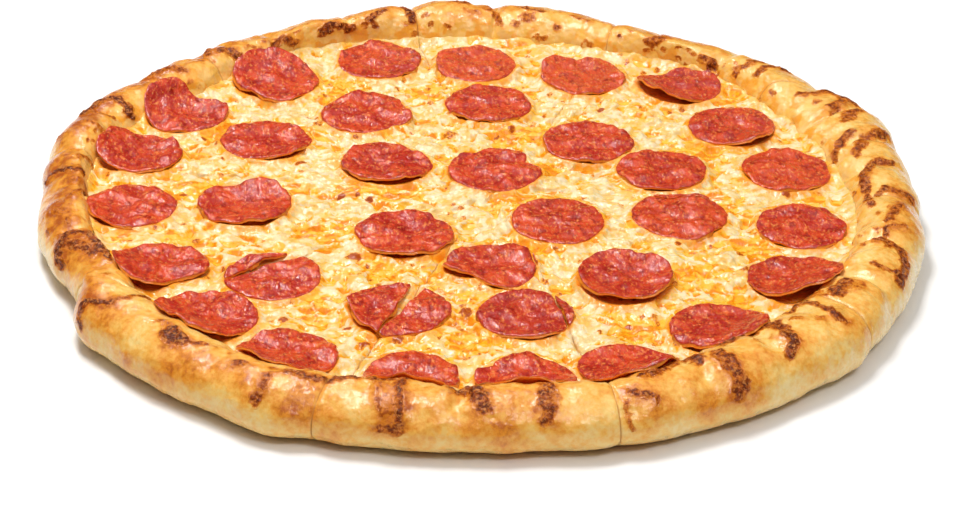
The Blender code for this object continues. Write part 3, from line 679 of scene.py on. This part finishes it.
def cheese(cut, look):
    u = columns_of(slice_width(cut, 150), CHEESE_STEP)
    # The sheet ends a little way up the wall of the rim, inside it
    end = on_slice(cut, u, lambda t: rim(t)[2] + 0.1 * (crest_of(rim(t)[0]) - rim(t)[2]), cheese_gap)
    U, S = np.meshgrid(u, np.linspace(0, 1, CHEESE_ROWS), indexing="ij")
    reach = 0.7 + S * (end[:, None] - 0.7)
    _, x, y = across(cut, U, reach, cheese_gap)
    plan = pair(x, y)
    outer, _, inner = rim(heading(x, y))
    radius = np.hypot(x, y)
    away = cut_distance(cut, U, x, y)
    near, side = sausage_field(x, y)
    # Relief: broad lumps, melted shreds, blisters, bubbles, the cut edges and the rise to the rim
    lumps = noise(plan, 13, 31, 2)
    warped = plan * np.array([0.75, 1]) + 2.6 * pair(noise(plan, 7.5, 32, 2), noise(plan, 7.5, 33, 2))
    shreds = 1 - 2 * np.abs(noise(warped, 7, 34, 2))
    grain = noise(warped, 3, 35, 2)
    relief = 1.5 * lumps + 1.3 * (shreds - 0.6) + 0.45 * grain
    brown = np.zeros(x.shape)
    for bx, by, size, dark in BLISTERS:
        far = np.hypot(x - bx, y - by) / size + 0.25 * grain
        relief += 0.3 * size * fade(far, 0, 1)
        brown = np.maximum(brown, min(1.25 * dark, 1.1) * fade(far, 0.5, 1.25))
    pale = np.zeros(x.shape)
    for bx, by, size in BUBBLES:
        far = np.hypot(x - bx, (y - by) * 1.15) / size + 0.12 * lumps
        dome = np.sqrt(np.clip(1 - far * far, 0, 1))
        relief = relief * (1 - 0.7 * dome) + 0.2 * size * dome
        pale = np.maximum(pale, dome)
    speck, own = scattered(plan, 9, 36)
    specks = fade(speck * 9 + 0.3 * grain, 0.3 + 0.6 * own, 0.9 + 1.2 * own) * (own > 0.45)
    brown = np.maximum(brown, 0.65 * specks * smooth(noise(plan, 40, 37), -0.5, 0.3))
    # It swells against the slices of sausage and touches them from below
    hug = fade(near, -0.5, 3)
    relief = relief * (1 - 0.8 * hug) + 0.55 * hug + 1.1 * np.exp(-0.5 * ((near - 0.7) / 0.9) ** 2)
    relief -= 1.1 * fade(near, -4, -1.2)
    shows = np.where(U > 0.5, cut_shows(cut + 1, reach), cut_shows(cut, reach))
    relief -= shows * 0.9 * np.exp(-(away / 0.7) ** 2) + (0.12 + 0.3 * shows) * np.exp(-(away / 2.2) ** 2)
    rise = smooth(radius, inner - 4, inner + 0.1 * (crest_of(outer) - inner))
    climb = 2.4 + 1.8 * noise(plan, 12, 39) + 0.5 * noise(plan, 4, 44)
    z = cheese_height(x, y) + relief * (1 - 0.8 * rise) + climb * rise
    # Oil gathers in the low places and round the sausage. The orange round the sausage, most on its front
    # side and under its edge, is also painted glow, light through the slices that lightens their shadow
    low = 1.3 * (0.6 - shreds) - 0.5 * lumps + 0.5 * noise(plan * np.array([0.6, 1]), 2.6, 40, 2)
    pooled = np.zeros(x.shape)
    for px, py, size in POOLS:
        far = np.hypot((x - px) * 0.7, y - py) / (1.5 * size) + 0.35 * shreds + 0.2 * lumps - 0.2
        pooled = np.maximum(pooled, fade(far, 0.45, 1.15))
    oil = smooth(low + 1.3 * noise(plan, 24, 41, 2) + 1.4 * pooled - 0.35, -0.15, 0.9)
    # Real oil with painted glow round the slices of sausage: strongest in front, and kept under the slices
    # to lighten their shadow
    oil_and_glow = np.exp(-np.maximum(near, 0) / (1.2 + 1.6 * np.maximum(side, 0))) * (0.6 + 0.4 * side)
    oil_and_glow = oil_and_glow + 0.3 * np.exp(-np.maximum(near, 0)) + 0.35 * noise(plan, 3, 43, 2) * (near < 5)
    oil_and_glow = np.clip(oil_and_glow, 0, 1) * (0.8 + 0.2 * smooth(near, -2, -0.3))
    oil = np.clip(oil * (1 - 0.8 * pale) + 0.35 * rise * (0.5 + noise(plan, 5, 42)), 0, 1)
    top = np.stack([x, y, z], -1)
    foot = on_slice(cut, u, lambda t: rim(t)[2] - 1.6, cheese_gap)
    below = [level_points(cut, u, reach, FLOOR_TOP + LAYER_GAP, cheese_gap) for reach in (0.7, 95, foot)]
    whole = np.concatenate([*below, top[:, ::-1]], axis=1)
    loop = whole.shape[1]
    quads = grid_faces(len(u), loop)
    cap = tuple(range(loop))
    caps = [tuple(reversed(cap)), tuple((len(u) - 1) * loop + i for i in cap)]

    def field(values):
        return np.concatenate([np.zeros((len(u), 3)), values[:, ::-1]], axis=1)

    # The edge field marks painted shade along the cuts that show
    fields = {"oil": field(oil), "brown": field(brown), "pale": field(pale), "oil_and_glow": field(oil_and_glow),
              "edge": field(fade(away, 0.02, 0.5) * shows), "rise": field(rise)}
    make(f"cheese_{cut + 1:02d}", whole.reshape(-1, 3), quads, caps, fields, look)


def cut_side(cut, x, y):
    way = math.radians(CUTS[cut])
    return -(x - CUT_X) * math.sin(way) + (y - CUT_Y) * math.cos(way)


def sausage(row, name, look, side=0, hub=None):
    """A slice of sausage, or the part of it on one side of a cut."""
    number, cx, cy, radius = row[:4]
    hub = hub or (cx, cy)
    ways = np.arange(SECTORS) * (2 * math.pi / SECTORS)

    def round_edge(start, size, seed, octaves=1):
        return noise(pair(np.cos(ways) * 14 + start * number, np.sin(ways) * 14), size, seed, octaves)

    reaches = reach_of(row, hub, ways) - 0.2
    reaches = reaches + 0.42 * round_edge(50, 3.2, 51, 2) + 0.7 * round_edge(50, 11, 58)
    # A lip of rendered fat shows under parts of the edge, mostly in front; the orange of the edge and
    # underside is fat and painted glow, light through the thin slice
    lip = smooth(round_edge(90, 9, 59), -0.35, 0.25) * smooth(-np.sin(ways), -0.2, 0.5)
    if side:
        cut, gap, opening = SPLIT[number]
        way = math.radians(CUTS[cut])
        out = (cx - CUT_X) * math.cos(way) + (cy - CUT_Y) * math.sin(way) + radius
        pivot = (CUT_X + out * math.cos(way), CUT_Y + out * math.sin(way))
        turn = way - 0.5 * side * math.radians(opening)
        normal = (-math.sin(turn) * side, math.cos(turn) * side)
        inside = normal[0] * (hub[0] - pivot[0]) + normal[1] * (hub[1] - pivot[1]) - 0.5 * gap
        lean = -(normal[0] * np.cos(ways) + normal[1] * np.sin(ways))
        reaches = np.where(lean > 1e-6, np.minimum(reaches, inside / np.maximum(lean, 1e-6)), reaches)

    def ring(share, inset=0):
        far = share * reaches - inset
        return hub[0] + far * np.cos(ways), hub[1] + far * np.sin(ways)

    def relief(x, y):
        here = pair(x, y) + 200 * number
        dx, dy = (x - cx) / radius, (y - cy) / radius
        part = np.hypot(dx, dy)
        angle = heading(dx, dy)
        swirl = here + 1.5 * pair(noise(here, 5, 54), noise(here, 5, 55))
        form = 1.7 * noise(here, 15, 52, 2) + 0.34 * noise(swirl, 4.6, 53, 2)
        form = form + 0.2 * noise(swirl, 2.2, 56, 2)
        wave = pair(np.cos(np.radians(angle)), np.sin(np.radians(angle))) * 2.2 + 9 * number
        form = np.maximum(form, 0.5 * form - 0.25)
        form = form + 0.6 * noise(wave, 1, 57, 2) * smooth(part, 0.55, 1)
        form = form - 0.7 - 0.6 * smooth(part, 0.72, 1)
        for at, depth, half in row[5]:
            if depth >= 1.2 and half <= 16:
                line = np.abs(wrap(angle - at)) * math.pi / 180 * np.maximum(part, 0.05) * radius
                form = form - 0.22 * depth * np.exp(-(line / 1.6) ** 2) * smooth(part, 0.25, 1)
        return np.maximum(form, -1.55)

    def surface(x, y, raised=0):
        return np.stack([x, y, sausage_top(row, x, y) + relief(x, y) + raised], -1)

    rings, fat_and_glows = [], []
    for share in np.linspace(0, 1, TOP_RINGS + 2)[1:-1]:
        curl = 0.16 * smooth(share, 0.8, 0.93) - 0.12 * smooth(share, 0.95, 1)
        rings.append(surface(*ring(share), curl))
        fat_and_glows.append(0)
    # Down the edge: how far in, how far the lip brings it out, how far down and how much it is underside,
    # which takes the orange of fat and painted glow
    for inset, out, drop, fat_and_glow in ((0.2, 0, 0.08, 0.1), (0.03, 0, 0.3, 0.3), (0.2, 0, 0.55, 0.6),
                                    (0.1, 0.9, 0.75, 1), (0.2, 0.9, 1.05, 1), (0.5, 0, 1.15, 1)):
        rings.append(surface(*ring(1, inset - out * lip), -drop * (1 + 0.35 * lip)))
        fat_and_glows.append(fat_and_glow)
    for share in (0.85, 0.65, 0.4, 0.15):
        rings.append(surface(*ring(share), -THIN))
        fat_and_glows.append(1)
    hub_top = surface(np.array([hub[0]]), np.array([hub[1]]))
    points = np.concatenate([np.array(rings).reshape(-1, 3), hub_top, hub_top - np.array([0, 0, THIN])])
    quads = grid_faces(len(rings), SECTORS)
    count = len(rings) * SECTORS
    last = count - SECTORS
    fans = [(count, (k + 1) % SECTORS, k) for k in range(SECTORS)]
    fans += [(last + k, last + (k + 1) % SECTORS, count + 1) for k in range(SECTORS)]
    dx, dy = points[:, 0] - cx, points[:, 1] - cy
    edge = np.clip(np.hypot(dx, dy) / edge_of(row, heading(dx, dy)), 0, 1)
    fat_and_glow = np.concatenate([np.repeat(fat_and_glows, SECTORS), [0, 1]])
    fields = {"edge": edge, "fat_and_glow": fat_and_glow, "tone_and_sheen": np.full(len(points), TONE_AND_SHEEN.get(number, 0.0))}
    make(name, points, quads, fans, fields, look)


# How much darker (below 0) or more orange (above 0) some slices of sausage are; the dark value of 29 is
# painted sheen
TONE_AND_SHEEN = {1: -0.2, 2: 0.5, 4: 0.6, 5: -0.5, 6: -0.1, 9: 0.2, 12: -0.3, 15: 0.2, 16: 0.4, 17: 0.2, 18: -0.1,
        19: 0.3, 20: 0.4, 21: 0.1, 25: 0.2, 26: -0.3, 27: 0.3, 29: -0.6, 31: -0.4, 32: 0.3, 33: 0.4, 34: 0.1}


# Materials

class Graph:
    """Short ways of adding nodes to one material."""

    def __init__(self, name):
        self.material = bpy.data.materials.new(name)
        self.material.use_nodes = True
        self.tree = self.material.node_tree
        self.shader = self.tree.nodes["Principled BSDF"]

    def join(self, source, target):
        self.tree.links.new(source, target)

    def put(self, kind, **values):
        node = self.tree.nodes.new("ShaderNode" + kind)
        for key, value in values.items():
            setattr(node, key, value)
        return node

    def give(self, node, **numbers):
        for name, number in numbers.items():
            node.inputs[name].default_value = number

    def field(self, name):
        return self.put("Attribute", attribute_name=name).outputs["Fac"]

    def feed(self, socket, value):
        if isinstance(value, (int, float)):
            socket.default_value = value
        elif isinstance(value, tuple):
            socket.default_value = (*value, 1) if len(value) == 3 and socket.type == "RGBA" else value
        else:
            self.join(value, socket)

    def sum(self, a, b, operation="ADD"):
        node = self.put("Math", operation=operation)
        self.feed(node.inputs[0], a)
        self.feed(node.inputs[1], b)
        return node.outputs[0]

    def times(self, a, b):
        return self.sum(a, b, "MULTIPLY")

    def step(self, value, low, high, out_low=0, out_high=1):
        node = self.put("MapRange", interpolation_type="SMOOTHSTEP")
        for socket, number in zip(node.inputs[1:5], (low, high, out_low, out_high)):
            socket.default_value = number
        self.feed(node.inputs[0], value)
        return node.outputs[0]

    def mix(self, share, a, b):
        node = self.put("Mix", data_type="RGBA")
        self.feed(node.inputs[0], share)
        self.feed(node.inputs[6], a)
        self.feed(node.inputs[7], b)
        return node.outputs[2]

    def cover(self, colour, *layers):
        """Colours laid over one, each where a value rises from low to high, up to a share."""
        for above, value, low, high, *share in layers:
            part = self.step(value, low, high)
            colour = self.mix(self.times(part, share[0]) if share else part, colour, above)
        return colour

    def ramp(self, value, stops):
        node = self.put("ValToRGB")
        elements = node.color_ramp.elements
        while len(elements) < len(stops):
            elements.new(0.5)
        for element, (at, colour) in zip(elements, stops):
            element.position = at
            element.color = (*colour, 1)
        self.feed(node.inputs[0], value)
        return node.outputs[0]

    def place(self, stretch=(1, 1, 1)):
        """Places on the part, in metres, stretched along x, y or z."""
        where = self.put("TexCoord")
        scale = self.put("Mapping")
        self.give(scale, Scale=stretch)
        self.join(where.outputs["Object"], scale.inputs["Vector"])
        return scale.outputs["Vector"]

    def noise(self, size_mm, detail=2, rough=0.5, where=None, twist=0):
        node = self.put("TexNoise")
        self.give(node, Scale=1000 / size_mm, Detail=detail, Roughness=rough, Distortion=twist)
        self.join(where or self.place(), node.inputs["Vector"])
        return node.outputs["Fac"]

    def relief(self, height, distance_mm, before=None):
        node = self.put("Bump")
        self.give(node, Strength=1, Distance=distance_mm * MM)
        self.feed(node.inputs["Height"], height)
        if before is not None:
            self.join(before, node.inputs["Normal"])
        return node.outputs["Normal"]

    def finish(self, colour, rough, normal, **values):
        self.feed(self.shader.inputs["Base Color"], colour)
        self.feed(self.shader.inputs["Roughness"], rough)
        self.join(normal, self.shader.inputs["Normal"])
        self.join(normal, self.shader.inputs["Coat Normal"])
        for name, value in values.items():
            self.feed(self.shader.inputs[name.replace("_", " ")], value)
        return self.material


CREAM = (0.77, 0.55, 0.23)
BUTTER = (0.8, 0.47, 0.1)
OIL = (0.88, 0.38, 0.004)


def cheesy_colour(g, oil, pale):
    """Melted cheese: cream and butter yellow, with orange oil in the low places."""
    colour = g.cover(
        CREAM, (BUTTER, g.noise(8), 0.38, 0.62), ((0.84, 0.7, 0.43), g.noise(3.6), 0.43, 0.58, 0.9))
    colour = g.mix(g.times(pale, 0.7), colour, (0.87, 0.71, 0.42))
    streak = g.step(g.noise(4.4, 2.5, 0.5, g.place((0.5, 1, 1)), 1), 0.36, 0.64, 0.15, 0.85)
    wet = g.sum(streak, g.step(oil, 0, 1, -0.32, 0.2))
    wet = g.sum(wet, g.step(g.noise(1.8, 2, 0.5, g.place((0.55, 1, 1))), 0.3, 0.7, -0.08, 0.08))
    return g.cover(
        colour, ((0.88, 0.47, 0.03), oil, 0.35, 0.8, 0.92), ((0.87, 0.5, 0.07), wet, 0.38, 0.6, 0.75),
        (OIL, wet, 0.56, 0.68, 0.95), ((0.78, 0.22, 0.004), wet, 0.78, 0.92, 0.85))


def frayed(g, mark, grain):
    """A mark with a ragged edge."""
    return g.sum(mark, g.times(g.step(grain, 0.3, 0.7, -0.3, 0.3), g.step(mark, 0.02, 0.3)))


def cheese_material():
    g = Graph("melted_cheese")
    oil, brown, oil_and_glow = g.field("oil"), g.field("brown"), g.field("oil_and_glow")
    colour = cheesy_colour(g, oil, g.field("pale"))
    wet = g.sum(oil_and_glow, g.step(g.noise(1.6, 3, 0.6), 0.3, 0.7, -0.2, 0.2))
    ragged = frayed(g, brown, g.noise(1.1, 3, 0.7))
    # The first orange laid on here is oil round the sausage and painted glow through the slices
    colour = g.cover(
        colour, ((0.9, 0.32, 0.02), wet, 0.15, 0.9, 0.9), ((0.8, 0.3, 0.02), ragged, 0.12, 0.4),
        ((0.38, 0.06, 0.002), ragged, 0.4, 0.75))
    # Brown along the cuts that show is painted shade in the cut
    colour = g.mix(g.times(g.field("edge"), 0.75), colour, (0.55, 0.26, 0.06))
    colour = g.cover(colour, ((0.92, 0.52, 0.12), g.field("rise"), 0.3, 1, 0.55))
    normal = g.relief(g.noise(1.4), 0.14)
    normal = g.relief(g.noise(3.6, twist=0.6), 0.6, normal)
    rough = g.step(oil, 0.2, 0.9, 0.34, 0.18)
    gloss = g.step(brown, 0.2, 0.6, 0.5, 0.1)
    return g.finish(colour, rough, normal, Subsurface_Weight=0.25, Subsurface_Radius=(1, 0.45, 0.15),
                    Subsurface_Scale=0.0016, Specular_IOR_Level=0.2, Coat_Weight=gloss, Coat_Roughness=0.12)


def crust_material():
    g = Graph("baked_crust")
    bake_and_shade, burnt, cheesy, oil = g.field("bake_and_shade"), g.field("burnt"), g.field("cheesy"), g.field("oil")
    # The baked field holds the baking and, on the front of the belly, painted shade
    fine = g.sum(bake_and_shade, g.step(g.noise(2.4, 4, 0.65), 0.3, 0.7, -0.14, 0.14))
    bread = g.ramp(fine, [(0, (0.9, 0.67, 0.3)), (0.25, (0.89, 0.58, 0.18)), (0.5, (0.87, 0.44, 0.08)),
                          (0.75, (0.76, 0.27, 0.025)), (1, (0.46, 0.1, 0.01))])
    melted = g.mix(0.7, cheesy_colour(g, g.times(oil, 0.4), 0), (0.94, 0.5, 0.08))
    melted = g.cover(melted, ((0.88, 0.33, 0.02), oil, 0.3, 0.9, 0.8))
    colour = g.mix(g.times(cheesy, 0.92), bread, melted)
    ragged = frayed(g, burnt, g.noise(2.2, 4, 0.65))
    colour = g.cover(
        colour, ((0.62, 0.18, 0.012), ragged, 0.05, 0.42), ((0.33, 0.058, 0.002), ragged, 0.38, 0.7),
        ((0.11, 0.016, 0.001), ragged, 0.62, 1))
    crack = g.times(g.step(g.noise(1.6, 3, 0.6, twist=0.6), 0.52, 0.6), g.step(burnt, 0.3, 0.8))
    colour = g.mix(g.times(crack, 0.75), colour, (0.64, 0.22, 0.045))
    # Brown along each cut and on the cut faces is painted shade in the cut
    colour = g.mix(g.times(g.field("cut_shade"), 0.6), colour, (0.6, 0.25, 0.05))
    normal = g.relief(g.noise(2.2, 4, 0.65), 0.3)
    normal = g.relief(g.noise(6), 0.8, normal)
    blistered = g.times(g.noise(1.4, 3, 0.6), g.step(burnt, 0.2, 0.7))
    normal = g.relief(blistered, 0.8, normal)
    rough = g.step(g.noise(7, 3, 0.6), 0.38, 0.62, 0.24, 0.44)
    gloss = g.step(burnt, 0.15, 0.6, 0.75, 0.1)
    return g.finish(colour, rough, normal, Subsurface_Weight=0.08, Subsurface_Radius=(1, 0.4, 0.15),
                    Subsurface_Scale=0.002, Specular_IOR_Level=0.15, Coat_Weight=gloss, Coat_Roughness=0.15)


def sausage_material():
    g = Graph("cured_sausage")
    edge, fat_and_glow, tone_and_sheen = g.field("edge"), g.field("fat_and_glow"), g.field("tone_and_sheen")
    place = g.place((1, 0.6, 1))
    meat, fat = g.noise(3.2, 3, 0.6, place), g.noise(2.2, 3, 0.65, place, 0.5)
    grain, seeds = g.noise(5.5, 4, 0.6, place), g.noise(1.1, 2, 0.55, place)
    colour = g.cover((0.44, 0.02, 0.009), ((0.64, 0.06, 0.013), grain, 0.4, 0.6))
    colour = g.mix(g.step(tone_and_sheen, 0, 1, 0, 0.5), colour, (0.76, 0.12, 0.018))
    # Darker slices below 0; on slice 29 this is painted sheen
    colour = g.mix(g.step(g.times(tone_and_sheen, -1), 0, 1, 0, 0.6), colour, (0.38, 0.02, 0.014))
    # The last orange, on the edge and underside, is rendered fat and painted glow
    colour = g.cover(
        colour, ((0.28, 0.009, 0.005), meat, 0.52, 0.66, 0.8), ((0.8, 0.18, 0.04), fat, 0.54, 0.66, 0.62),
        ((0.84, 0.27, 0.07), seeds, 0.58, 0.68, 0.75), ((0.34, 0.014, 0.008), edge, 0.92, 0.995, 0.35),
        ((0.96, 0.27, 0.02), fat_and_glow, 0.1, 0.6, 0.9))
    normal = g.relief(g.noise(1.8, 3, 0.6, place), 0.42)
    normal = g.relief(g.noise(5, where=place, twist=0.8), 0.7, normal)
    rough = g.step(g.noise(3), 0.35, 0.65, 0.2, 0.36)
    return g.finish(colour, rough, normal, Subsurface_Weight=0.3, Subsurface_Radius=(1, 0.3, 0.1),
                    Subsurface_Scale=0.003, Specular_IOR_Level=0.4, Coat_Weight=0.4, Coat_Roughness=0.1)


def floor_and_light():
    mesh = bpy.data.meshes.new("floor")
    mesh.from_pydata([(-6, -6, 0), (6, -6, 0), (6, 6, 0), (-6, 6, 0)], [], [(0, 1, 2, 3)])
    g = Graph("pale_floor")
    g.feed(g.shader.inputs["Base Color"], (0.9, 0.9, 0.9))
    g.feed(g.shader.inputs["Roughness"], 0.8)
    mesh.materials.append(g.material)
    put_in_scene("floor", mesh)
    world = bpy.data.worlds.new("studio")
    world.use_nodes = True
    tree = world.node_tree
    tree.nodes["Background"].inputs["Color"].default_value = (1, 1, 1, 1)
    # Brighter overhead than near the horizon, so that glossy flat places aren't washed out
    where = tree.nodes.new("ShaderNodeTexCoord")
    split = tree.nodes.new("ShaderNodeSeparateXYZ")
    level = tree.nodes.new("ShaderNodeMapRange")
    tree.links.new(where.outputs["Generated"], split.inputs[0])
    tree.links.new(split.outputs["Z"], level.inputs["Value"])
    for socket, number in zip(level.inputs[1:5], (0.45, 0.95, 0.02, 0.85)):
        socket.default_value = number
    tree.links.new(level.outputs["Result"], tree.nodes["Background"].inputs["Strength"])
    STAGE.world = world
    for name, place, size, power in (
        ("top_light", (-0.2, 0.06, 1.0), (0.36, 0.28), 7.4),
        ("back_light", (-0.4, 0.8, 0.95), (0.14, 0.1), 2.6),
        ("front_light", (0.4, -0.8, 1.1), (0.3, 0.22), 4.4),
    ):
        light = bpy.data.lights.new(name, "AREA")
        light.shape = "RECTANGLE"
        light.size, light.size_y = size
        light.energy = power
        made = put_in_scene(name, light)
        made.location = place
        back = np.array(place) / np.linalg.norm(place)
        made.rotation_euler = Matrix(np.array(turned(back)).T.tolist()).to_euler()
    STAGE.view_settings.view_transform = "Standard"


def turned(back):
    """Rows right, up and back of something that faces along -back."""
    right = np.cross([0, 0, 1], back)
    right = right / np.linalg.norm(right)
    return [right, np.cross(back, right), back]


def camera():
    """Looks along +Y and down by 29.5 degrees, from 1.1 m, with the slight roll of the photograph."""
    lens, rise, roll, reach = 103.68, 0.5143985, 0.0199175, 1.1
    seen = bpy.data.cameras.new("camera")
    seen.lens = lens
    seen.sensor_width = 36
    back = np.array([0, -math.cos(rise), math.sin(rise)])
    right, up, _ = turned(back)
    right, up = right * math.cos(roll) + up * math.sin(roll), -right * math.sin(roll) + up * math.cos(roll)
    spot = back * reach + np.array([0.0002066 - MIDDLE[0] * MM, -0.0313331 - MIDDLE[1] * MM, 0])
    made = put_in_scene("camera", seen)
    rows = np.stack([right, up, back, spot], -1).tolist()
    made.matrix_world = Matrix([*rows, [0, 0, 0, 1]])
    STAGE.camera = made


camera()
floor_and_light()
bread, melted, cured = crust_material(), cheese_material(), sausage_material()
for cut in range(SLICES):
    crust(cut, bread)
    cheese(cut, melted)
for row in SAUSAGE:
    number, cx, cy, radius = row[:4]
    name = f"sausage_{number:02d}"
    if number not in SPLIT:
        sausage(row, name, cured)
        continue
    # Both parts of a slice that the knife went through, each built round the middle of its own half
    cut = SPLIT[number][0]
    away = cut_side(cut, cx, cy)
    way = math.radians(CUTS[cut] + 90)
    for side in (1, -1):
        shift = 0.5 * (side * radius + away) - away
        hub = (cx + shift * math.cos(way), cy + shift * math.sin(way))
        sausage(row, name + ("" if side * away > 0 else "_cut"), cured, side, hub)
